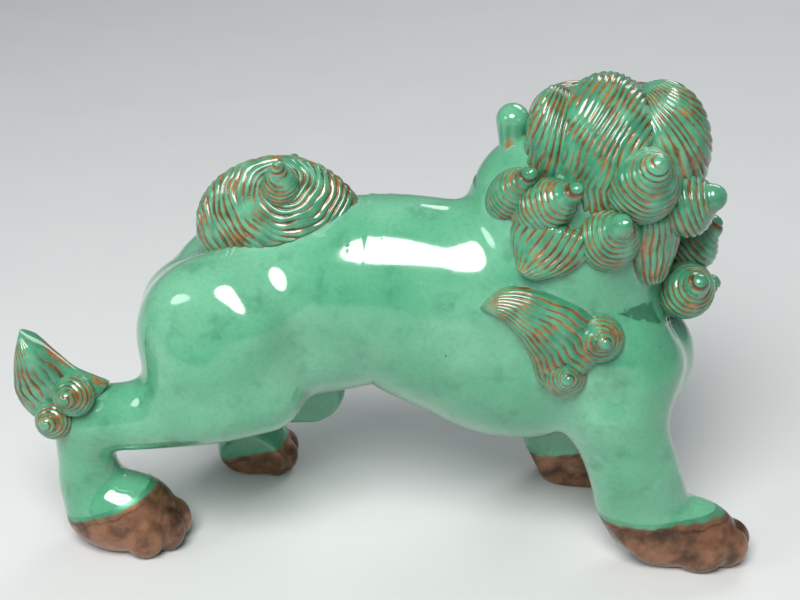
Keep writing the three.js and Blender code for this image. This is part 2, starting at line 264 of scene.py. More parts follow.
def outward(vertices, face_groups):
    """The same faces, turned over if they enclose a negative volume."""
    volume = 0
    for faces in face_groups:
        first = vertices[faces[:, 0]]
        for i in range(1, faces.shape[1] - 1):
            volume += (first * np.cross(vertices[faces[:, i]], vertices[faces[:, i + 1]])).sum()
    return face_groups if volume > 0 else [faces[:, ::-1] for faces in face_groups]


def mesh_object(name, vertices, *face_groups):
    """A new object from modelling-frame millimetres; the faces of a group all have as many corners."""
    mesh = bpy.data.meshes.new(name)
    vertices = (np.asarray(vertices) - ORIGIN) * MM
    face_groups = outward(vertices, face_groups)
    corners = np.concatenate([faces.ravel() for faces in face_groups]).astype(np.int32)
    sizes = np.concatenate([np.full(len(faces), faces.shape[1]) for faces in face_groups])
    starts = np.concatenate([[0], np.cumsum(sizes)[:-1]]).astype(np.int32)
    mesh.vertices.add(len(vertices))
    mesh.vertices.foreach_set("co", vertices.ravel())
    mesh.loops.add(len(corners))
    mesh.loops.foreach_set("vertex_index", corners)
    mesh.polygons.add(len(starts))
    mesh.polygons.foreach_set("loop_start", starts)
    mesh.update(calc_edges=True)
    mesh.validate()
    mesh.shade_smooth()
    piece = bpy.data.objects.new(name, mesh)
    bpy.context.collection.objects.link(piece)
    return piece


def points_of(piece):
    """A piece's vertices in modelling-frame millimetres."""
    mesh = piece.data
    flat = np.empty(len(mesh.vertices) * 3)
    mesh.vertices.foreach_get("co", flat)
    return flat.reshape(-1, 3) / MM + ORIGIN


def add_value(piece, name, values):
    """A number for each vertex, which a material can read."""
    attribute = piece.data.attributes.new(name, "FLOAT", "POINT")
    attribute.data.foreach_set("value", np.asarray(values, np.float32))


def set_normals(piece, field):
    """Smooth shading straight from the field, so a cut between two pieces can't be seen."""
    _, slope = value_and_slope(field, points_of(piece), 0.3)
    slope /= np.maximum(np.linalg.norm(slope, axis=1), 1e-9)[:, None]
    piece.data.normals_split_custom_set_from_vertices(slope)


def block_object(name, field, low, high, step):
    vertices, quads = surface_of(field, low, high, step)
    vertices = settled(field, vertices, low, high, step)
    return mesh_object(name, vertices, quads)


def prism(outline, low, high, axis):
    """A closed block: an outline extruded along X (axis 0) or Y (axis 1)."""
    count = len(outline)
    rings = []
    for reach in (low, high):
        for u, v in outline:
            rings.append([reach, u, v] if axis == 0 else [u, reach, v])
    mesh = bpy.data.meshes.new("cutter")
    vertices = [tuple(p) for p in (np.array(rings, float) - ORIGIN) * MM]
    sides = [(i, (i + 1) % count, (i + 1) % count + count, i + count) for i in range(count)]
    mesh.from_pydata(vertices, [], [tuple(range(count))[::-1], tuple(range(count, 2 * count)), *sides])
    shape = bmesh.new()
    shape.from_mesh(mesh)
    bmesh.ops.triangulate(shape, faces=shape.faces)
    bmesh.ops.recalc_face_normals(shape, faces=shape.faces)
    shape.to_mesh(mesh)
    shape.free()
    cutter = bpy.data.objects.new("cutter", mesh)
    bpy.context.collection.objects.link(cutter)
    return cutter


def carve(piece, operation, cutters):
    """Cuts a piece with closed cutters, or keeps only what is inside them."""
    for cutter in cutters:
        change = piece.modifiers.new("cut", "BOOLEAN")
        change.operation = operation
        change.solver = "MANIFOLD"
        change.object = cutter
        graph = bpy.context.evaluated_depsgraph_get()
        cut = bpy.data.meshes.new_from_object(piece.evaluated_get(graph))
        piece.modifiers.remove(change)
        old = piece.data
        piece.data = cut
        cut.name = piece.name
        bpy.data.meshes.remove(old)
    piece.data.shade_smooth()
    return piece


def copy_of(piece, name):
    twin = bpy.data.objects.new(name, piece.data.copy())
    bpy.context.collection.objects.link(twin)
    return twin


def drop(*pieces):
    for piece in pieces:
        bpy.data.objects.remove(piece)


# ---------------------------------------------------------------- the smooth body

TORSO_LINE = [
    [-88, 0, 97, 20, 22], [-64, 0, 97, 32, 36], [-38, 0, 102, 33, 39], [-10, 0, 109, 33, 41],
    [20, 0, 103, 35, 46], [48, 0, 95, 36, 50], [76, 0, 90, 34, 43], [98, 0, 80, 23, 27]]
NECK_LINE = [[62, 0, 112, 33, 40], [70, 1, 134, 34, 40], [78, 3, 156, 32, 36]]
HEAD = np.array([82.0, 4.0, 166.0])
INNER_FACE = 20  # the legs' flat inner faces, from the middle plane
NAPE = (np.array([58.0, 5, 150]), np.array([30.0, 26, 28]))
LEGS = {
    "hind_leg_right": {
        "side": RIGHT,
        "bulge": ([-70, 18, 95], [36, 28, 36]),
        "lines": [
            [[-54, 25, 74, 18, 16], [-78, 27, 69, 18, 17], [-102, 28, 63, 14, 15],
             [-124, 28, 60, 13, 14]],
            [[-129, 28, 60, 13, 13], [-130, 28, 42, 13, 12], [-129, 28, 28, 14, 14],
             [-125, 28, 18, 14, 16]]]},
    "hind_leg_left": {
        "side": LEFT,
        "bulge": ([-66, 18, 94], [35, 28, 36]),
        "lines": [
            [[-58, 22, 82, 21, 26], [-46, 26, 62, 18, 21], [-42, 28, 45, 15, 15]],
            [[-44, 29, 43, 15, 14], [-58, 30, 39, 14, 13], [-72, 31, 40, 13, 14]],
            [[-73, 31, 40, 13, 14], [-74, 33, 28, 13, 14], [-72, 35, 17, 13, 14]]]},
    "foreleg_right": {
        "side": RIGHT,
        "bulge": ([84, 18, 88], [29, 21, 31]),
        "lines": [[[86, 22, 80, 18, 24], [92, 26, 61, 15, 19], [98, 27, 44, 13.5, 18.5],
                   [102, 26, 30, 13, 19], [106, 26, 20, 13, 18]]]},
    "foreleg_left": {
        "side": LEFT,
        "bulge": ([80, 18, 84], [29, 21, 30]),
        "lines": [[[74, 22, 80, 18, 25], [68, 27, 60, 15, 21], [67, 29, 42, 14, 19], [70, 31, 28, 14, 18],
                   [76, 32, 19, 13, 16]]]},
}
# A paw reaches length / 2 each way from its centre. Its heel is cut off along a slope of that many mm,
# and it is luted to the leg along a line that tilts up towards the toes.
PAWS = {
    "hind_paw_right": {"centre": [-115, 30, 15], "length": 52, "side": RIGHT, "half_width": 17, "heel": 0,
                       "top": 24, "tilt": 0.3},
    "hind_paw_left": {"centre": [-69, 31, 11], "length": 38, "side": LEFT, "half_width": 17, "heel": 2,
                      "top": 12, "tilt": 0.2},
    "fore_paw_right": {"centre": [116, 26, 14], "length": 64, "side": RIGHT, "half_width": 14, "heel": 22,
                       "top": 24, "tilt": -0.02},
    "fore_paw_left": {"centre": [82, 31, 12], "length": 58, "side": LEFT, "half_width": 16, "heel": 12,
                      "top": 20, "tilt": 0.05},
}


def sided(row, side):
    return [row[0], row[1] * side, *row[2:]]


def leg_fields(leg):
    """The parts of a leg as fields: its bulge, then its lines from the top down."""
    centre, radii = leg["bulge"]
    centre = np.array(sided(centre, leg["side"]), float)
    radii = np.array(radii, float)
    fields = [lambda points: ellipsoid_field(points, centre, radii)]
    fields += [Limb([sided(row, leg["side"]) for row in line]).field for line in leg["lines"]]
    return fields


# The toes' knuckles: angles round the paw in degrees, and places as shares of its length or in mm
FIRST_TOE = -66
TOE_TURN = 40
TOE_REACH = 0.3
TOE_FORWARD = 0.06
TOE_INSET = 5


def toe_places(paw):
    """Four knuckles round the front of the paw, from its outer side to its inner side."""
    x, y, z = paw["centre"]
    for toe in range(4):
        turn = math.radians(FIRST_TOE + TOE_TURN * toe)
        ahead = math.cos(turn) * paw["length"] * TOE_REACH
        aside = math.sin(turn) * (paw["half_width"] - TOE_INSET)
        yield np.array([x + paw["length"] * TOE_FORWARD + ahead, (y - aside) * paw["side"], z * 0.66]), turn


def paw_field(paw, points):
    """A domed pad with four knuckles round its front, a sloping heel and a flat sole with a soft edge."""
    x, y, z = paw["centre"]
    length = paw["length"]
    middle = np.array([x - length * 0.03, y * paw["side"], z])
    whole = ellipsoid_field(points, middle, np.array([length * 0.45, paw["half_width"], z + 3]))
    for centre, _ in toe_places(paw):
        toe = ellipsoid_field(points, centre, np.array([length * 0.17, 6.4, z * 0.72]))
        whole = smooth_min(whole, toe, 1.8)
    back = x - length * 0.5
    slope = math.atan2(paw["heel"], z * 2)
    heel = (back - points[:, 0]) * math.cos(slope) + (z * 2 - points[:, 2]) * math.sin(slope)
    return smooth_max(whole, heel, 4)


LEG_FIELDS = {name: leg_fields(leg) for name, leg in LEGS.items()}
# Widths in mm over which neighbouring shapes melt together
LEG_PART_BLEND = 9
BULGE_BLEND = 16
PAW_BLEND = 6
LEG_BLENDS = {"hind": 12, "fore": 9}
NECK_BLEND = 16
NAPE_BLEND = 12
HEAD_BLEND = 6
INNER_FACE_TOP = 74
SOLE_EDGE = 2.2
VENT_RADIUS = 5
VENT_TOP = 80
TORSO = Limb(TORSO_LINE)
NECK = Limb(NECK_LINE)


def one_leg(name, points):
    """A leg down into its paw, with the flat inner face left by its open mould."""
    leg = LEGS[name]
    parts = LEG_FIELDS[name]
    limb = parts[1](points)
    for part in parts[2:]:
        limb = smooth_min(limb, part(points), LEG_PART_BLEND)
    whole = smooth_min(limb, parts[0](points), BULGE_BLEND)
    paw = PAWS[name.replace("leg", "paw").replace("forepaw", "fore_paw")]
    whole = smooth_min(whole, paw_field(paw, points), PAW_BLEND)
    inward = INNER_FACE - points[:, 1] * leg["side"]
    return np.where(points[:, 2] < INNER_FACE_TOP, smooth_max(whole, inward, 2.5), whole)


def head_field(points):
    """Skull, muzzle, cheeks and open mouth. The face looks to +Y."""
    local = points - HEAD
    skull = ellipsoid_field(local, np.zeros(3), np.array([36.0, 33.0, 31.0]))
    muzzle = ellipsoid_field(local, np.array([0, 34, -7.0]), np.array([24, 20, 13.0]))
    whole = smooth_min(skull, muzzle, 9)
    for side in (-1, 1):
        cheek = ellipsoid_field(local, np.array([side * 20, 22, -13.0]), np.array([13, 15, 13.0]))
        lip = ellipsoid_field(local, np.array([side * 11, 47, -8.5]), np.array([11, 9.5, 8.0]))
        socket = ellipsoid_field(local, np.array([side * 13, 35, 5.5]), np.array([10.5, 7.5, 9.5]))
        whole = smooth_min(whole, cheek, 8)
        whole = smooth_min(whole, lip, 5)
        whole = smooth_max(whole, -socket, 4)
    mouth = ellipsoid_field(local, np.array([0, 46, -19.5]), np.array([18, 27, 7.5]))
    return smooth_max(whole, -mouth, 3)


# Hollows (and, where the depth is negative, swellings) in both sides: [centre, reach], depth
RELIEF = [
    ([-78, 43, 107], 12, 3.0), ([-53, 38, 112], 10, -2.0), ([-34, 34, 101], 13, 2.6),
    ([-65, 31, 126], 9, -1.0),
    ([-91, 40, 81], 9, -2.0), ([-17, 31, 92], 12, 1.4), ([95, 34, 105], 9, -1.4), ([87, 41.5, 86], 8, 3.2),
    ([80, 42, 72], 8, -1.6), ([112, 20, 92], 9, -1.4), ([44, 38, 104], 14, 1.6), ([62, 40, 74], 10, 1.6)]
NO_Y = np.array([1, 0, 1])
ONLY_Y = np.array([0, 1, 0])


def muscle_relief(points):
    mirrored = np.abs(points) * ONLY_Y + points * NO_Y
    total = np.zeros(len(points))
    for centre, reach, depth in RELIEF:
        gaps = ((mirrored - centre) ** 2).sum(axis=1)
        total += depth * np.exp(-gaps / reach ** 2)
    return total


def body_field(points):
    """The whole lion without its hair: torso, neck, head, legs and paws melted together."""
    body = TORSO.field(points)
    for name in LEGS:
        body = smooth_min(body, one_leg(name, points), LEG_BLENDS[name[:4]])
    body = smooth_min(body, NECK.field(points), NECK_BLEND)
    body = smooth_min(body, ellipsoid_field(points, *NAPE), NAPE_BLEND)
    body = smooth_min(body, head_field(points), HEAD_BLEND) + muscle_relief(points)
    ground = -points[:, 2]
    vent = np.maximum(np.hypot(points[:, 0], points[:, 1]) - VENT_RADIUS, points[:, 2] - VENT_TOP)
    body = smooth_max(body, ground, SOLE_EDGE)
    return smooth_max(body, -vent, 2)


def paw_cutter(paw):
    """The block below a paw's top, where the paw is luted to its leg."""
    x, y, _ = paw["centre"]
    y *= paw["side"]
    reach = paw["length"]
    low, high = y - 26, y + 26
    back = paw["top"] - paw["tilt"] * reach * 0.5
    front = paw["top"] + paw["tilt"] * reach * 0.5 + 4
    return prism([(x - reach, -20), (x + reach, -20), (x + reach, front + 8), (x + reach * 0.5, front),
                  (x - reach * 0.5, back), (x - reach, back - 2)], low, high, 1)


# Where each leg parts from the torso: an oval round the bulge, and a block below it, outward of LEG_ROOT
LEG_OUTLINES = {
    "hind_leg": [(-190, -20), (-14, -20), (-14, 58), (-60, 61), (-94, 72), (-112, 92), (-190, 92)],
    "foreleg": [(42, -20), (190, -20), (190, 56), (42, 56)],
}
LEG_ROOT = 8
BULGE_MARGIN = 5
FLANK = 21
NECK_OUTLINE = [(24, 147), (120, 103), (170, 103), (170, 240), (24, 240)]
HEAD_OUTLINE = [(-70, 157), (22, 157), (26, 130), (90, 130), (90, 240), (-70, 240)]


def ball(centre, radii):
    shape = bmesh.new()
    bmesh.ops.create_uvsphere(shape, u_segments=48, v_segments=32, radius=1)
    mesh = bpy.data.meshes.new("cutter")
    for vertex in shape.verts:
        vertex.co = Vector((np.array(vertex.co) * radii + centre - ORIGIN) * MM)
    shape.to_mesh(mesh)
    shape.free()
    cutter = bpy.data.objects.new("cutter", mesh)
    bpy.context.collection.objects.link(cutter)
    return cutter


def leg_cutter(name):
    """An oval round the leg's bulge outside the flank, and the block that holds the leg's lower part."""
    leg = LEGS[name]
    centre, radii = leg["bulge"]
    cutter = ball(np.array(sided(centre, leg["side"]), float), np.array(radii, float) + BULGE_MARGIN)
    core = prism([(-200, -20), (200, -20), (200, 200), (-200, 200)], -FLANK, FLANK, 1)
    low, high = sorted((LEG_ROOT * leg["side"], 90 * leg["side"]))
    lower = prism(LEG_OUTLINES[name.rsplit("_", 1)[0]], low, high, 1)
    carve(cutter, "DIFFERENCE", [core])
    carve(cutter, "UNION", [lower])
    drop(core, lower)
    return cutter


def build_body():
    """Meshes the smooth body once, then divides it where the pressed pieces were luted together."""
    whole = block_object("whole", body_field, [-156, -62, -12], [136, 62, 175], BODY_STEP)
    head_block = block_object("head", body_field, [30, -50, 120], [134, 80, 212], HEAD_STEP)
    head_cutter = prism(HEAD_OUTLINE, -10, 190, 0)
    neck_cutter = prism(NECK_OUTLINE, -90, 90, 1)
    paws = {name: paw_cutter(paw) for name, paw in PAWS.items()}
    pieces = {"head": carve(head_block, "INTERSECT", [head_cutter])}
    pieces["neck"] = carve(copy_of(whole, "neck"), "INTERSECT", [neck_cutter])
    carve(pieces["neck"], "DIFFERENCE", [head_cutter])
    leg_cutters = []
    for name in LEGS:
        cutter = leg_cutter(name)
        leg_cutters.append(cutter)
        pieces[name] = carve(copy_of(whole, name), "INTERSECT", [cutter])
        carve(pieces[name], "DIFFERENCE", list(paws.values()))
    for word, low, high in (("right", -90, 0), ("left", 0, 90)):
        half = prism([(-200, -20), (200, -20), (200, 240), (-200, 240)], low, high, 1)
        name = f"torso_half_{word}"
        pieces[name] = carve(copy_of(whole, name), "INTERSECT", [half])
        carve(pieces[name], "DIFFERENCE", [neck_cutter, *leg_cutters])
        drop(half)
    for name, paw in PAWS.items():
        x, y, _ = paw["centre"]
        y *= paw["side"]
        reach = paw["length"] * 0.62
        block = block_object(name, body_field, [x - reach, y - 24, -6], [x + reach, y + 24, 46], PAW_STEP)
        pieces[name] = carve(block, "INTERSECT", [paws[name]])
    drop(whole, head_cutter, neck_cutter, *leg_cutters, *paws.values())
    for piece in pieces.values():
        set_normals(piece, body_field)
    return pieces


# ---------------------------------------------------------------- combed hair

STRAND = 2.6  # spacing of the combed strands
FINE_STRAND = 2.1  # spacing on the small curls
COMB_DEPTH = 1.2
VIEW_RISE = math.radians(28)  # how far above level the hair's pattern and the camera face the statue
CAMERA_TURN = math.radians(4)  # how far round from the right side towards the head
CAMERA_DISTANCE = 0.6
LENS = 65.6
POOL_REACH = 2.6  # how far from the applied hair, in mm, glaze pools on the body
RIM = 2.6  # how far green glaze runs over a paw's upper edge
SHADE_LINE_DEPTH = 4.2  # how far below that edge a painted shade line runs, where a crease would lie in shadow


def wobble(points, reach, seed):
    """A smooth variation between -1 and 1 that changes over about that many millimetres."""
    random = np.random.default_rng(seed)
    total = np.zeros(points.shape[:-1])
    for _ in range(4):
        wave = random.normal(size=3) * 2.6 / reach
        total += np.sin(points @ wave + random.uniform(0, 6.28))
    return total / 4


def combing(points, phase, seed):
    """How far each point lies below the crest of its strand, from 0 to 1. Whole phases are grooves."""
    phase = phase + 0.45 * wobble(points, 10, seed)
    crest = np.sin(math.pi * (phase % 1.0)) ** 0.8
    return (1 - crest) * np.clip(0.7 + 0.6 * wobble(points, 9, seed + 1), 0.15, 1)


def ring_object(name, points, groove):
    """A closed piece from rings of points [ring, column, xyz]. The first and last rings are single points."""
    rows, columns = points.shape[:2]
    inner = points[1:-1].reshape(-1, 3)
    vertices = np.concatenate([points[0, :1], inner, points[-1, :1]])
    start = 1 + np.arange(columns)
    after = 1 + (np.arange(columns) + 1) % columns
    last = (rows - 3) * columns
    low = np.stack([np.zeros(columns, int), after, start], axis=1)
    high = np.stack([np.full(columns, len(vertices) - 1), start + last, after + last], axis=1)
    band = np.arange(rows - 3)[:, None] * columns
    quads = np.stack([start + band, after + band, after + band + columns, start + band + columns], axis=-1)
    piece = mesh_object(name, vertices, quads.reshape(-1, 4), np.concatenate([low, high]))
    add_value(piece, "groove", np.concatenate([groove[0, :1], groove[1:-1].ravel(), groove[-1, :1]]))
    return piece


def frame_round(axis):
    """An axis as a unit vector, and two unit vectors square to it and to each other."""
    axis = np.asarray(axis, float) / np.linalg.norm(axis)
    helper = np.array([0, 0, 1.0]) if abs(axis[2]) < 0.9 else np.array([1.0, 0, 0])
    u = np.cross(helper, axis)
    u /= np.linalg.norm(u)
    return axis, u, np.cross(axis, u)


# Profile of a snail curl from its root to its tip: [height, radius] as shares
CURL_PROFILE = [
    [-0.6, 0.0], [-0.55, 0.45], [-0.4, 0.8], [-0.15, 0.98], [0.08, 1.02], [0.26, 0.97], [0.42, 0.84],
    [0.54, 0.67], [0.62, 0.54], [0.68, 0.46], [0.73, 0.42], [0.81, 0.38], [0.9, 0.29],
    [0.96, 0.18], [1.0, 0.0]]
NUB_START = 0.7
NUB_FADE = 0.08


def snail_curl(name, base, tip, radius, whorls=1.0, seed=0):
    """A strand rolled up like a snail shell: a combed swelling, then a nub with a spiral line round it."""
    base = np.array(base, float)
    axis, u, v = frame_round(np.array(tip, float) - base)
    height = np.linalg.norm(np.array(tip, float) - base)
    spacing = STRAND if radius > 9 else FINE_STRAND
    rows = int(np.clip(radius * 10, 70, 130))
    columns = int(np.clip(radius * 9, 60, 120))
    profile, along = even_steps(spline(CURL_PROFILE, 600) * [height, radius], rows)
    lift = profile[:, 0:1]
    girth = np.maximum(profile[:, 1:2], 0)
    girth[[0, -1]] = 0
    angle = np.linspace(0, 2 * math.pi, columns, endpoint=False)[None, :]
    turn = angle / (2 * math.pi)
    around = np.cos(angle)[..., None] * u + np.sin(angle)[..., None] * v
    points = base + axis * lift[..., None] + around * girth[..., None]
    share = lift / height
    groove = combing(points, along[:, None] / spacing + turn, seed)
    on_nub = np.clip((share - NUB_START + NUB_FADE) / NUB_FADE, 0, 1)
    nub_share = np.clip((share - NUB_START) / (1 - NUB_START), 0, 1)
    spiral = nub_share * whorls - turn
    line = np.exp(-((spiral - np.round(spiral)) / 0.15) ** 2) * np.clip((0.95 - nub_share) * 6, 0, 1)
    groove = groove * (1 - on_nub) + line * on_nub
    depth = min(0.1 * radius, 1.15 * COMB_DEPTH) * np.clip(girth / (0.2 * radius), 0, 1)
    points = points - around * (groove * depth)[..., None]
    return ring_object(name, points, groove)


def combed_leaf(name, stations, strands, seed=0, rows=120, columns=176):
    """A pointed lock: an oval limb whose strands run from its root and gather at its tip."""
    table, _ = even_steps(spline(stations, rows * 4), rows * 2)
    start_cap = min(table[0, 3:])
    end_cap = min(table[-1, 3:])
    length = np.linalg.norm(np.diff(table[:, :3], axis=0), axis=1).sum()
    walked = np.concatenate([[0], np.cumsum(np.linalg.norm(np.diff(table[:, :3], axis=0), axis=1))])
    place = np.linspace(-start_cap, length + end_cap, rows)
    inside = np.clip(place, 0, length)
    row = np.stack([np.interp(inside, walked, column) for column in table.T], axis=1)
    axes = [np.stack([np.interp(inside, walked, column) for column in axis.T], axis=1)
            for axis in limb_axes(table[:, :3])]
    past = (place - inside) / np.where(place < 0, start_cap, end_cap)
    narrow = np.sqrt(np.clip(1 - past ** 2, 0, 1))[:, None]
    centre = row[:, :3] + axes[0] * (place - inside)[:, None]
    angle = np.linspace(0, 2 * math.pi, columns, endpoint=False)[None, :]
    wide = row[:, 3:4] * narrow
    tall = row[:, 4:5] * narrow
    flat = np.sign(np.cos(angle)) * np.abs(np.cos(angle)) ** 0.8
    side = axes[1][:, None, :] * (flat * wide)[..., None]
    up = axes[2][:, None, :] * (np.sin(angle) * tall)[..., None]
    points = centre[:, None, :] + side + up
    phase = strands * (1 + np.sin(angle)) / 2 + 0 * wide
    fade = np.clip(tall / (0.35 * row[:, 4].max()), 0, 1)
    groove = combing(points, phase, seed) * fade
    outwards = side + up
    outwards /= np.maximum(np.linalg.norm(outwards, axis=2), 1e-6)[..., None]
    depth = np.minimum(COMB_DEPTH, 0.35 * np.minimum(wide, tall))
    return ring_object(name, points - outwards * (groove * depth)[..., None], groove)


def refined(coarse, rows, columns):
    """A smooth finer grid through a coarse one [row, column, values]."""
    size = coarse.shape
    table = spline(coarse.reshape(size[0], -1), rows).reshape(rows, size[1], size[2])
    table = spline(table.transpose(1, 0, 2).reshape(size[1], -1), columns)
    return table.reshape(columns, rows, size[2]).transpose(1, 0, 2)


def on_body(x, z, side):
    """The points of the body's side seen at each x and z, and the way its surface faces there."""
    points = np.stack([x.ravel(), np.full(x.size, side * 75.0), z.ravel()], axis=1)
    for _ in range(16):
        points[:, 1] -= side * 0.85 * body_field(points)
    _, slope = value_and_slope(body_field, points, 1.5)
    slope /= np.linalg.norm(slope, axis=1)[:, None]
    return points.reshape(*x.shape, 3), slope.reshape(*x.shape, 3)


def between(edges, rows, columns):
    """Points [x, z] in even steps along two edges and across from one to the other."""
    first, second = (even_steps(spline(edge, 400), rows)[0] for edge in edges)
    share = np.linspace(0, 1, columns)[None, :, None]
    return first[:, None, :] * (1 - share) + second[:, None, :] * share


def combed_flap(name, edges, side, strands, thickness, seed, standing_at=None, rows=130, columns=150):
    """A pointed flap of combed hair, between two edges that run from its tip to its root. It lies on the
    body's side, or stands free in the plane y = standing_at with both its faces combed."""
    if standing_at is None:
        coarse = between(edges, 14, 12)
        grids = on_body(coarse[..., 0], coarse[..., 1], side)
        surface, normal = (refined(grid, rows, columns) for grid in grids)
        normal /= np.linalg.norm(normal, axis=2)[..., None]
    else:
        flat = between(edges, rows, columns)
        surface = np.stack([flat[..., 0], np.full((rows, columns), standing_at), flat[..., 1]], axis=2)
        normal = np.zeros((rows, columns, 3)) + [0, side, 0]
    along = np.linspace(0, 1, rows)[:, None]
    across = np.linspace(-1, 1, columns)[None, :]
    rounding = np.sqrt(np.clip(1 - np.abs(across) ** 2.6, 0, 1))
    tip_end = np.clip(along / 0.16, 0, 1) ** 0.6
    root_end = np.sqrt(np.clip(1 - (np.clip(along - 0.9, 0, 1) / 0.1) ** 2, 0, 1))
    height = thickness * rounding * (tip_end * root_end)
    groove = combing(surface, strands * (across + 1) / 2, seed)
    width = np.linalg.norm(surface[:, -1] - surface[:, 0], axis=1)[:, None]
    deep = np.minimum(COMB_DEPTH, 0.3 * width / strands) * np.clip(height / (0.5 * thickness), 0, 1)
    groove = groove * np.clip(deep / 0.35, 0, 1)
    top = surface + normal * (height - groove * deep)[..., None]
    if standing_at is None:
        under = surface[:, ::-8] - normal[:, ::-8] * 2.5
        under_groove = np.zeros(under.shape[:2])
    else:
        under = surface[:, ::-1] - normal[:, ::-1] * (height - groove * deep)[:, ::-1, None]
        under_groove = groove[:, ::-1]
    points = np.concatenate([top, under], axis=1)
    groove = np.concatenate([groove, under_groove], axis=1)
    points[0] = points[0].mean(axis=0)
    points[-1] = points[-1].mean(axis=0) - normal[-1].mean(axis=0) * 2
    return ring_object(name, points, groove)


def dome_points(centre, radii, inward, pole, rows, columns, cover=1.0):
    """Rings of half an ellipsoid that faces away from inward, round a pole on it, and their normals. A cover
    above 1 takes the rings that much further round."""
    centre = np.array(centre, float)
    radii = np.array(radii, float)
    inward = np.array(inward, float) / np.linalg.norm(inward)
    pole, u, v = frame_round(pole)
    turn = np.linspace(0, 2 * math.pi, columns, endpoint=False)
    towards = np.cos(turn)[:, None] * u + np.sin(turn)[:, None] * v
    limit = np.arctan2(-(pole @ inward), towards @ inward) * cover
    angle = np.linspace(0, 1, rows)[:, None] * limit[None, :]
    direction = np.cos(angle)[..., None] * pole + np.sin(angle)[..., None] * towards[None, :, :]
    normal = direction / radii
    normal /= np.linalg.norm(normal, axis=2)[..., None]
    return centre + direction * radii, normal


def combed_dome(name, centre, radii, inward, pole, phase_of, seed=0, rows=150, columns=330):
    """A good half of an ellipsoid of combed hair, closed behind by a cone; phase_of places the strands."""
    points, normal = dome_points(centre, radii, inward, pole, rows, columns, 1.25)
    groove = combing(points, phase_of(points), seed)
    groove[0] = groove[0].mean()
    points = points - normal * (groove * COMB_DEPTH)[..., None]
    back = np.broadcast_to(np.array(centre, float), (1, columns, 3))
    return ring_object(name, np.concatenate([points, back]), np.concatenate([groove, 0 * groove[:1]]))


def seen(points, middle):
    """Places across and up from a point, as seen from the lion's right and a little above."""
    offset = points - middle
    up = offset[..., 2] * math.cos(VIEW_RISE) + offset[..., 1] * math.sin(VIEW_RISE)
    return offset[..., 0], up


def fan(middle, reach):
    """Strands that fan out below a point, a strand's width apart at that reach."""
    def phase_of(points):
        across, up = seen(points, middle)
        return np.arctan2(across, -up) * reach / STRAND
    return phase_of


def swirl(middle, arms, rise=1.0, lean=0.0, way=1):
    """Strands that wind round a point, stretched upwards by 1 / rise and leaning over."""
    def phase_of(points):
        across, up = seen(points, middle)
        across = across - lean * np.maximum(up, 0)
        stretched = np.where(up > 0, up * rise, up)
        turn = np.arctan2(-way * across, up) / (2 * math.pi)
        return np.hypot(across, stretched) / STRAND + arms * turn
    return phase_of


MANE_LOBES = {
    "mane_lobe_crown": {"centre": [79, -5, 171.5], "radii": [23.5, 27, 34.5], "inward": [-0.05, 0.9, -0.3],
                        "pole": [0.1, -0.9, 0.1], "phase": swirl([93, -32, 170], 6, 0.42, 0.42), "seed": 21},
    "mane_lobe_right": {"centre": [100, -1, 175], "radii": [20, 22, 27], "inward": [-0.7, 0.6, -0.3],
                        "pole": [0.7, -0.6, 0.3], "phase": fan([84, -6, 211], 34), "seed": 22},
    "mane_lobe_left": {"centre": [60, -3, 175], "radii": [12.5, 20, 25], "inward": [0.5, 0.8, -0.35],
                       "pole": [-0.4, -0.8, 0.4], "phase": fan([72, -5, 232], 48), "seed": 23},
}
# Each lock: the edges from its tip to its root, its number of strands and its thickness
MANE_LOCKS = {
    "mane_lock_nape": ([[[48, 134], [46, 141], [44, 149], [48, 158]],
                        [[48, 134], [58, 133], [70, 139], [80, 152]]], 11, 5.5),
    "mane_lock_throat": ([[[98, 127], [93, 132], [90, 144], [91, 160]],
                          [[98, 127], [103, 132], [108, 144], [107, 160]]], 8, 5.5),
}
MANE_CURLS = {
    "mane_curl_crown": ([91.5, -22, 168], [96, -42, 186.5], 14.5, 3.0),
    "mane_curl_right": ([109, -15.5, 158.5], [124.5, -19.5, 165], 13, 0.0),
    "mane_curl_nape": ([80, -25, 147.5], [86.5, -43, 163], 12.5, 0.0),
    "mane_curl_left": ([55.5, -22, 158.5], [69, -38, 174], 10.5, 1.0),
    "mane_curl_behind_ear": ([44, -14, 159], [51.5, -27.5, 176], 9.5, 1.5),
    "mane_curl_throat": ([113.5, -10, 119], [118.5, -24, 130], 11.5, 1.0),
    "mane_curl_chest": ([114, 4, 112], [129.5, 1, 117.5], 10.5, 1.0),
    "mane_curl_jaw": ([115, 3, 133], [127, 2, 145], 12, 1.0),
    "beard_curl_right": ([98, 28, 134], [102, 44, 121], 10, 1.0),
    "beard_curl_middle": ([82, 30, 131], [82, 49, 117], 11, 1.0),
    "beard_curl_left": ([66, 28, 134], [62, 44, 121], 10, 1.0),
    "cheek_curl_right": ([110, 20, 160], [120, 33, 166], 11, 1.0),
    "cheek_curl_left": ([50, 20, 150], [42, 34, 155], 12, 1.0),
    "tail_curl_right": ([-46, -8, 156], [-45.5, -19, 172.5], 8, 2.0),
    "tail_curl_left": ([-46, 9, 149], [-45, 25, 158], 8, 2.0),
}
TAIL_CENTRE = np.array([-48.0, 0.0, 136.0])
TAIL_RADII = np.array([35.0, 14.5, 30.5])
HOCKS = {"right": ([-128, 28, 61], RIGHT), "left": ([-77, 31, 47], LEFT)}
TUFT_EDGES = [[[-22.7, 40.8], [-26.5, 27], [-27.7, 12], [-21.4, 0.6], [-6, -10]],
              [[-22.7, 40.8], [-15.2, 36.2], [-8, 29.5], [-0.6, 23], [12, 18]]]
HOCK_CURLS = {"upper": ([-1, 10, 16], [-2, 21, 20], 8.5), "lower": ([-10, 10, 4], [-11, 21, 8], 8)}
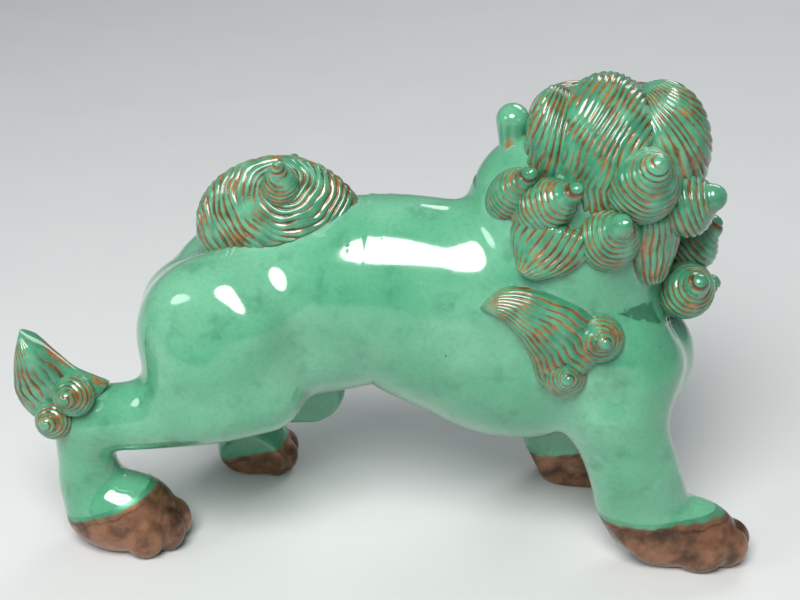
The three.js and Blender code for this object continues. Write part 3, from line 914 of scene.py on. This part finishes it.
FLAME_EDGES = [[[33, 120], [44.2, 114], [53, 101], [57, 90], [66, 86]],
               [[33, 120], [40, 127], [52, 129.5], [72, 122], [86, 108]]]
SHOULDER_CURLS = {"upper": ([79.5, 33, 109], [81, 48, 115], 9.5),
                  "lower": ([67, 35, 93], [68, 49, 99], 9)}


def build_mane():
    pieces = {}
    for name, lobe in MANE_LOBES.items():
        pieces[name] = combed_dome(name, lobe["centre"], lobe["radii"], lobe["inward"], lobe["pole"],
                                   lobe["phase"], lobe["seed"])
    for number, (name, (edges, strands, thickness)) in enumerate(MANE_LOCKS.items()):
        pieces[name] = combed_flap(name, edges, RIGHT, strands, thickness, 30 + number)
    for number, (name, (base, tip, radius, whorls)) in enumerate(MANE_CURLS.items()):
        pieces[name] = snail_curl(name, base, tip, radius, whorls, 40 + number)
    return pieces


KNOBS = [np.array([-43.0, -13, 152]), np.array([-45.0, 13, 148])]
KNOB_MOUND = 3.5  # how far the plume swells round each knob
KNOB_REACH = 15.0
SEAM_WIDTH = 1.2  # the plume's own seam in the middle plane


def build_tail():
    """A plume combed round a knob on each side; it is pressed in two halves that meet in the middle plane."""
    rows, columns = 170, 420
    inward, pole = [0.35, 0, -0.94], [-0.1, -0.25, 0.97]
    points, normal = dome_points(TAIL_CENTRE, TAIL_RADII, inward, pole, rows, columns)
    for knob in KNOBS:
        gap = np.linalg.norm(points - knob, axis=2)
        points = points + normal * (KNOB_MOUND * np.exp(-(gap / KNOB_REACH) ** 2))[..., None]
    phase = np.where(points[..., 1] < 0, swirl([-46, -12, 160], 7, way=-1)(points),
                     np.hypot(points[..., 0] + 45, points[..., 2] - 152) / STRAND)
    groove = combing(points, phase, 61)
    calm = np.clip(np.abs(points[..., 1]) / SEAM_WIDTH, 0, 1)
    groove = np.maximum(groove * calm, (1 - calm) * 0.6)
    groove[0] = groove[0].mean()
    points = points - normal * (groove * COMB_DEPTH)[..., None]
    back = np.broadcast_to(TAIL_CENTRE - [0, 0, 6], (1, columns, 3))
    points = np.concatenate([points, back])
    groove = np.concatenate([groove, 0 * groove[:1]])
    return {"tail_plume": ring_object("tail_plume", points, groove)}


def from_hock(hock, offset, side):
    return [hock[0] + offset[0], (hock[1] + offset[1]) * side, hock[2] + offset[2]]


def build_flames():
    """Tufts at the hocks and flames on the shoulders, each with its two small curls."""
    pieces = {}
    for word, (hock, side) in HOCKS.items():
        edges = [[[hock[0] + x, hock[2] + z] for x, z in edge] for edge in TUFT_EDGES]
        name = f"hock_tuft_{word}"
        pieces[name] = combed_flap(name, edges, side, 8, 7, 70 + side, standing_at=(hock[1] + 2) * side)
        for level, (base, tip, radius) in HOCK_CURLS.items():
            name = f"hock_curl_{level}_{word}"
            ends = from_hock(hock, base, side), from_hock(hock, tip, side)
            pieces[name] = snail_curl(name, *ends, radius, 1.5, 75)
    for word, side in (("right", RIGHT), ("left", LEFT)):
        name = f"shoulder_flame_{word}"
        pieces[name] = combed_flap(name, FLAME_EDGES, side, 11, 6, 80 + side)
        for level, (base, tip, radius) in SHOULDER_CURLS.items():
            name = f"shoulder_curl_{level}_{word}"
            pieces[name] = snail_curl(name, sided(base, side), sided(tip, side), radius, 1.5, 85)
    return pieces


# ---------------------------------------------------------------- face

EYE_SPREAD = 13
EYE_RADIUS = 7.5
BROW_LINE = [[3, 38, 12, 4, 5], [13, 37, 15, 5, 6], [24, 30, 13, 5, 6], [30, 24, 6, 4, 4]]
EARS = {"right": 111, "left": 44}
FACE_SIDES = {"right": 1, "left": -1}  # the lion's right is +X, because the head is turned to its left


def build_ear(word):
    """A rounded paddle with a hollow pressed into its outer face."""
    x = EARS[word]
    way = FACE_SIDES[word]
    paddle = Limb([[x - way, 3, 158, 9, 7.5], [x + way * 0.5, 4, 171, 6.5, 5],
                   [x + way * 0.5, 5, 183, 7.5, 6.6]])
    middle = np.array([x + way * 1.5, -3.5, 175.0])

    def field(points):
        hollow = ellipsoid_field(points, middle, np.array([2.6, 2.6, 9.0]))
        return smooth_max(paddle.field(points), -hollow, 4)
    piece = block_object(f"ear_{word}", field, [x - 12, -10, 146], [x + 12, 20, 194], 0.8)
    offset = (points_of(piece) - middle + [0, 0, 2.5]) / [2.6, 5, 6.5]
    add_value(piece, "groove", np.clip(1.25 - np.linalg.norm(offset, axis=1), 0, 1))
    return piece


def build_eye(word):
    """An eyeball with a raised pupil."""
    centre = HEAD + [FACE_SIDES[word] * EYE_SPREAD, 34, 4]
    pupil = centre + [0, EYE_RADIUS - 1.2, -0.6]

    def field(points):
        ball_part = ellipsoid_field(points, centre, np.full(3, EYE_RADIUS))
        return smooth_min(ball_part, ellipsoid_field(points, pupil, np.array([2.9, 1.9, 2.9])), 0.5)
    piece = block_object(f"eye_{word}", field, centre - 10, centre + 10, 0.6)
    offset = (points_of(piece) - pupil) / [3.1, 2.6, 3.1]
    add_value(piece, "pupil", np.clip((1.15 - np.linalg.norm(offset, axis=1)) * 6, 0, 1))
    return piece


def build_nose():
    centre = np.array([82.0, 56, 166])

    def field(points):
        whole = ellipsoid_field(points, centre, np.array([9.0, 7, 7]))
        for side in (-1, 1):
            wing = ellipsoid_field(points, centre + [side * 7.5, -1.5, -2], np.array([5.5, 6, 5.0]))
            whole = smooth_min(whole, wing, 3)
            nostril = ellipsoid_field(points, centre + [side * 5.5, 4.5, -3.5], np.array([2.5, 3.2, 2.2]))
            whole = smooth_max(whole, -nostril, 1.2)
        return whole
    return block_object("nose", field, centre - [16, 14, 14], centre + [16, 12, 12], 0.6)


def arch(count, outer):
    """Places round the front of a dental arch, and the share of the way from its middle to its end."""
    for i in range(count):
        share = (i + 0.5) / count * 2 - 1
        turn = share * math.radians(98)
        yield np.array([82 + outer * math.sin(turn), 40 + outer * math.cos(turn) * 1.1, 0]), abs(share)


def build_teeth(name, level, up, count=11):
    """A row of teeth round the arch. The fang test never passes, so all the teeth are one length."""
    def field(points):
        whole = None
        for place, share in arch(count, 14):
            fang = 0.35 < share < 0.6
            long = 5.6 if fang and not up else 3.6
            place = place + [0, 0, level + up * 1.6]
            tooth = ellipsoid_field(points, place, np.array([2.3, 2.0, long]))
            whole = tooth if whole is None else smooth_min(whole, tooth, 0.5)
        return whole
    return block_object(name, field, [60, 16, level - 9], [104, 62, level + 9], 0.6)


def build_tongue():
    def field(points):
        whole = ellipsoid_field(points, np.array([82.0, 41, 145.5]), np.array([8.5, 19, 4.5]))
        tip = ellipsoid_field(points, np.array([82.0, 56, 148]), np.array([6.5, 6, 3.5]))
        crease = ellipsoid_field(points, np.array([82.0, 44, 151]), np.array([1.2, 18, 3.2]))
        return smooth_max(smooth_min(whole, tip, 4), -crease, 2)
    return block_object("tongue", field, [70, 18, 138], [94, 66, 154], 0.7)


def build_jaw():
    def field(points):
        whole = ellipsoid_field(points, np.array([82.0, 34, 136]), np.array([20.0, 24, 9]))
        lip = ellipsoid_field(points, np.array([82.0, 46, 140]), np.array([17.5, 14, 5]))
        mouth = ellipsoid_field(points, np.array([82.0, 42, 147]), np.array([14.0, 18, 6]))
        return smooth_max(smooth_min(whole, lip, 4), -mouth, 3)
    return block_object("lower_jaw", field, [58, 6, 122], [106, 64, 150], 0.8)


def build_face():
    pieces = {"nose": build_nose(), "tongue": build_tongue(), "lower_jaw": build_jaw(),
              "upper_teeth": build_teeth("upper_teeth", 153, -1),
              "lower_teeth": build_teeth("lower_teeth", 145, 1)}
    for word, way in FACE_SIDES.items():
        pieces[f"eye_{word}"] = build_eye(word)
        pieces[f"ear_{word}"] = build_ear(word)
        line = [[HEAD[0] + way * x, HEAD[1] + y, HEAD[2] + z, *girth] for x, y, z, *girth in BROW_LINE]
        pieces[f"brow_{word}"] = combed_leaf(f"brow_{word}", line, 5, 90 + way, 90, 96)
    return pieces


# ---------------------------------------------------------------- materials

def linear(*srgb):
    """A colour from 0-255 screen values, as shaders take it."""
    shares = [value / 255 for value in srgb]
    return tuple(v / 12.92 if v < 0.0404 else ((v + 0.055) / 1.055) ** 2.4 for v in shares) + (1.0,)


class Surface:
    """A material under construction: each method adds one node and gives back its output."""

    def __init__(self, name, roughness, **constants):
        self.material = bpy.data.materials.new(name)
        self.material.use_nodes = True
        self.tree = self.material.node_tree
        self.shader = self.tree.nodes["Principled BSDF"]
        self.shader.inputs["Roughness"].default_value = roughness
        for socket, value in constants.items():
            self.shader.inputs[socket.replace("_", " ")].default_value = value
        self.place = self.tree.nodes.new("ShaderNodeTexCoord").outputs["Object"]

    def node(self, kind, inputs, output, **settings):
        node = self.tree.nodes.new(kind)
        for key, value in settings.items():
            setattr(node, key, value)
        for key, value in inputs.items():
            if isinstance(value, bpy.types.NodeSocket):
                self.tree.links.new(value, node.inputs[key])
            else:
                node.inputs[key].default_value = value
        return node.outputs[output]

    def noise(self, size, detail=3.0, roughness=0.55):
        """Soft variation from 0 to 1 with blotches of that many millimetres."""
        inputs = {"Vector": self.place, "Scale": 1000 / size, "Detail": detail, "Roughness": roughness}
        return self.node("ShaderNodeTexNoise", inputs, "Fac")

    def specks(self, size):
        """Distance from the nearest of scattered points, in units of their spacing."""
        return self.node("ShaderNodeTexVoronoi", {"Vector": self.place, "Scale": 1000 / size}, "Distance")

    def value(self, name):
        return self.node("ShaderNodeAttribute", {}, "Fac", attribute_name=name)

    def step(self, value, low, high):
        """A soft step: 0 below low, 1 above high."""
        inputs = {"Value": value, "From Min": low, "From Max": high}
        return self.node("ShaderNodeMapRange", inputs, "Result", interpolation_type="SMOOTHSTEP")

    def maths(self, operation, a, b):
        return self.node("ShaderNodeMath", {0: a, 1: b}, "Value", operation=operation)

    def blend(self, share, a, b):
        return self.node("ShaderNodeMix", {"Factor": share, 6: a, 7: b}, 2, data_type="RGBA")

    def bump(self, height, distance, strength=1.0, after=None):
        inputs = {"Height": height, "Distance": distance * MM, "Strength": strength}
        if after is not None:
            inputs["Normal"] = after
        return self.node("ShaderNodeBump", inputs, "Normal")

    def finish(self, **links):
        for socket, output in links.items():
            self.tree.links.new(output, self.shader.inputs[socket.replace("_", " ")])
        return self.material


GREEN = linear(78, 158, 120)
DEEP_GREEN = linear(30, 104, 74)
PALE_GREEN = linear(110, 178, 144)
MILKY = linear(146, 184, 180)
OCHRE = linear(156, 102, 50)
DARK_OCHRE = linear(94, 66, 32)
# Dark clay seen in the pits, also used as the colour of painted shade in the hair grooves and paw creases
DARK_CLAY_AND_SHADE = linear(58, 44, 34)
BRONZE = linear(158, 112, 84)
DARK_BRONZE = linear(72, 48, 36)
CHALK = linear(206, 196, 184)


def glaze_colour(surface):
    """Green lead glaze: it lies thick and deep in places, thin and pale in others."""
    drift = surface.step(surface.noise(46), 0.3, 0.72)
    colour = surface.blend(drift, GREEN, PALE_GREEN)
    patch = surface.step(surface.noise(13, 4.0, 0.6), 0.5, 0.8)
    colour = surface.blend(surface.maths("MULTIPLY", patch, 0.55), colour, DEEP_GREEN)
    grain = surface.step(surface.noise(1.6, 2.0), 0.35, 0.8)
    return surface.blend(surface.maths("MULTIPLY", grain, 0.16), colour, DEEP_GREEN)


def pits(surface):
    return surface.maths("SUBTRACT", 1.0, surface.step(surface.specks(15), 0.016, 0.03))


def green_glaze():
    surface = Surface("green_glaze", 0.13, IOR=1.52, Coat_Weight=0.7, Coat_Roughness=0.03)
    colour = glaze_colour(surface)
    pool = surface.value("pool")
    cloud = surface.maths("MULTIPLY", pool, surface.step(surface.noise(7), 0.3, 0.9))
    colour = surface.blend(cloud, colour, MILKY)
    ochre = surface.step(surface.value("groove"), 0.12, 0.5)
    colour = surface.blend(surface.maths("MULTIPLY", ochre, 0.85), colour, OCHRE)
    hole = pits(surface)
    colour = surface.blend(hole, colour, DARK_CLAY_AND_SHADE)
    relief = surface.bump(surface.noise(14, 1.0), 0.25, 0.5)
    relief = surface.bump(surface.noise(2.4, 2.0), 0.035, 0.5, relief)
    relief = surface.bump(surface.maths("SUBTRACT", 1.0, hole), 0.3, 0.6, relief)
    return surface.finish(Base_Color=colour, Normal=relief)


def combed_glaze():
    """The same glaze on combed hair, with ochre paint rubbed into the grooves and over some crests, and
    painted shade in the deepest grooves.
    """
    surface = Surface("combed_glaze", 0.16, IOR=1.52, Coat_Weight=0.6, Coat_Roughness=0.05)
    shade = surface.step(surface.noise(9), 0.25, 0.7)
    colour = surface.blend(surface.maths("MULTIPLY", shade, 0.7), glaze_colour(surface), DEEP_GREEN)
    groove = surface.value("groove")
    patchy = surface.noise(8, 3.0, 0.6)
    uneven = surface.maths("MULTIPLY", surface.maths("SUBTRACT", patchy, 0.5), 1.5)
    depth = surface.maths("ADD", groove, uneven)
    ochre = surface.step(depth, 0.14, 0.42)
    rust = surface.blend(surface.step(surface.noise(4.5), 0.35, 0.7), OCHRE, DARK_OCHRE)
    colour = surface.blend(surface.maths("MULTIPLY", ochre, 0.88), colour, rust)
    # Painted shade: the deepest parts of the grooves are darkened, as shadow would darken them
    groove_shade = surface.step(groove, 0.4, 0.85)
    colour = surface.blend(surface.maths("MULTIPLY", groove_shade, 0.7), colour, DARK_CLAY_AND_SHADE)
    relief = surface.bump(surface.noise(3.5, 2.0), 0.12, 0.6)
    return surface.finish(Base_Color=colour, Normal=relief)


def bronze_paint():
    surface = Surface("bronze_paint", 0.32, Metallic=0.6, IOR=1.45, Coat_Weight=0.35, Coat_Roughness=0.15)
    cloud = surface.step(surface.noise(12, 4.0, 0.6), 0.32, 0.7)
    colour = surface.blend(cloud, BRONZE, DARK_BRONZE)
    # Painted shade: the crease value darkens the crease under the paint edge and the gaps between the toes
    crease = surface.value("crease")
    colour = surface.blend(surface.maths("MULTIPLY", crease, 0.85), colour, DARK_CLAY_AND_SHADE)
    height = surface.node("ShaderNodeSeparateXYZ", {0: surface.place}, "Z")
    unevenness = surface.maths("MULTIPLY", surface.noise(4, 3.0), 3.5 * MM)
    ragged = surface.maths("ADD", height, unevenness)
    worn = surface.maths("SUBTRACT", 1.0, surface.step(ragged, 2.2 * MM, 3.6 * MM))
    colour = surface.blend(surface.maths("MULTIPLY", worn, 0.8), colour, CHALK)
    colour = surface.blend(surface.value("rim"), colour, glaze_colour(surface))
    roughness = surface.maths("ADD", 0.26, surface.maths("MULTIPLY", surface.noise(3), 0.24))
    relief = surface.bump(surface.noise(1.4, 3.0), 0.08, 0.6)
    return surface.finish(Base_Color=colour, Roughness=roughness, Normal=relief)


def white_glaze():
    surface = Surface("white_glaze", 0.12, IOR=1.5, Coat_Weight=0.6, Coat_Roughness=0.03)
    cloud = surface.step(surface.noise(5), 0.3, 0.75)
    colour = surface.blend(cloud, linear(233, 228, 210), linear(206, 204, 176))
    colour = surface.blend(surface.value("pupil"), colour, linear(20, 16, 14))
    return surface.finish(Base_Color=colour, Normal=surface.bump(surface.noise(4), 0.1, 0.4))


def red_glaze():
    surface = Surface("red_glaze", 0.16, IOR=1.5, Coat_Weight=0.5, Coat_Roughness=0.05)
    cloud = surface.step(surface.noise(6), 0.3, 0.75)
    colour = surface.blend(cloud, linear(160, 54, 40), linear(118, 38, 30))
    return surface.finish(Base_Color=colour, Normal=surface.bump(surface.noise(4), 0.15, 0.4))


MATERIALS = {"green_glaze": green_glaze(), "combed_glaze": combed_glaze(), "bronze_paint": bronze_paint(),
             "white_glaze": white_glaze(), "red_glaze": red_glaze()}


# The first word found in a piece's name gives its material
SLOT_WORDS = {"paw": "bronze_paint", "eye": "white_glaze", "teeth": "white_glaze", "tongue": "red_glaze",
              "curl": "combed_glaze", "lobe": "combed_glaze", "lock": "combed_glaze", "tuft": "combed_glaze",
              "flame": "combed_glaze", "plume": "combed_glaze", "brow": "combed_glaze"}


def slot_of(name):
    for word, slot in SLOT_WORDS.items():
        if word in name:
            return slot
    return "green_glaze"


# ---------------------------------------------------------------- scene

def build_floor():
    mesh = bpy.data.meshes.new("floor")
    mesh.from_pydata([(-3, -3, 0), (3, -3, 0), (3, 3, 0), (-3, 3, 0)], [], [(0, 1, 2, 3)])
    floor = bpy.data.objects.new("floor", mesh)
    bpy.context.collection.objects.link(floor)
    paint = Surface("floor", 0.7)
    colour = paint.blend(paint.noise(60), linear(214, 216, 216), linear(208, 210, 211))
    mesh.materials.append(paint.finish(Base_Color=colour))


def look_at(thing, target):
    thing.rotation_euler = (Vector(target) - thing.location).to_track_quat("-Z", "Y").to_euler()


def direction(turn, rise):
    """The way from the statue to a thing at that turn from its right side and that rise, in radians."""
    return Vector((math.sin(turn) * math.cos(rise), -math.cos(turn) * math.cos(rise), math.sin(rise)))


def build_camera():
    aim = Vector((0.005, -0.0075, 0.105))
    data = bpy.data.cameras.new("camera")
    data.sensor_width = 36
    data.lens = LENS
    camera = bpy.data.objects.new("camera", data)
    bpy.context.collection.objects.link(camera)
    camera.location = aim + direction(CAMERA_TURN, VIEW_RISE) * CAMERA_DISTANCE
    look_at(camera, aim)
    bpy.context.scene.camera = camera


def softbox(name, azimuth, elevation, distance, width, height, power, colour=(1, 1, 1)):
    """An oval soft light that looks at the statue's middle from that direction."""
    data = bpy.data.lights.new(name, "AREA")
    data.shape = "ELLIPSE"
    data.size = width
    data.size_y = height
    data.energy = power
    data.color = colour
    light = bpy.data.objects.new(name, data)
    bpy.context.collection.objects.link(light)
    aim = Vector((0, 0, 0.1))
    light.location = aim + distance * direction(math.radians(azimuth), math.radians(elevation))
    look_at(light, aim)


def build_lights():
    softbox("window", -10, 54, 1.1, 0.62, 0.66, 14.5, (1.0, 0.98, 0.95))
    softbox("fill_left", -62, 30, 1.5, 0.6, 0.4, 3.5, (0.95, 0.98, 1.0))
    softbox("rim_back", 155, 40, 1.5, 0.9, 0.6, 6)
    scene = bpy.context.scene
    scene.view_settings.view_transform = "Standard"
    scene.world = bpy.data.worlds.new("studio")
    scene.world.use_nodes = True
    backdrop = scene.world.node_tree.nodes["Background"]
    backdrop.inputs["Color"].default_value = (0.82, 0.9, 0.94, 1)
    backdrop.inputs["Strength"].default_value = 0.25


def add_pools(pieces, applied):
    """How much milky glaze has gathered at each point of the body: most beside the applied hair."""
    points = np.concatenate([points_of(piece)[::6] for piece in applied])
    tree = kdtree.KDTree(len(points))
    for number, point in enumerate(points):
        tree.insert(point, number)
    tree.balance()
    for piece in pieces:
        gaps = np.array([tree.find(point)[2] for point in points_of(piece)])
        add_value(piece, "pool", np.clip(1 - gaps / POOL_REACH, 0, 1) ** 1.5)


def add_rim_and_shade_lines(piece, paw):
    """Green glaze running over the paw's upper edge, and painted shade lines in the creases under that edge
    and between the toes.
    """
    points = points_of(piece)
    x, y, z = paw["centre"]
    along = (points[:, 0] - x) / (paw["length"] * 0.5)
    seam = paw["top"] + 2 + along * (paw["tilt"] * paw["length"] * 0.5 + 2)
    below = seam - points[:, 2] + 1.1 * wobble(points, 5, 90)
    add_value(piece, "rim", np.clip(RIM - below, 0, 1))
    # Painted shade: a dark line where the crease under the paint edge would lie in shadow
    line = np.clip(1 - np.abs(below - SHADE_LINE_DEPTH) / 0.55, 0, 1) * np.clip(0.7 + wobble(points, 14, 91), 0, 1)
    toes = np.array([turn for _, turn in toe_places(paw)])
    turn = np.arctan2((y * paw["side"] - points[:, 1]) * paw["side"] / (paw["half_width"] - TOE_INSET),
                      (points[:, 0] - x - paw["length"] * TOE_FORWARD) / (paw["length"] * TOE_REACH))
    # Painted shade: dark lines between the toes, strongest low down
    between = np.abs(turn[:, None] - (toes[:-1] + toes[1:]) / 2).min(axis=1)
    toe_shade = np.clip(1 - between / 0.12, 0, 1) * np.clip((z * 1.25 - points[:, 2]) / 4, 0, 1)
    add_value(piece, "crease", np.maximum(line, toe_shade * 0.8))


def main():
    build_camera()
    build_lights()
    build_floor()
    body = build_body()
    hair = {**build_mane(), **build_tail(), **build_flames()}
    face = build_face()
    glazed = [piece for name, piece in body.items() if name not in PAWS]
    add_pools(glazed, list(hair.values()))
    for name, paw in PAWS.items():
        add_rim_and_shade_lines(body[name], paw)
    for name, piece in {**body, **hair, **face}.items():
        slot = slot_of(name)
        piece.name = f"fine_{name}"
        piece.data.materials.clear()
        piece.data.materials.append(MATERIALS[slot])
        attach(piece, "root")
        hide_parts(name)


main()
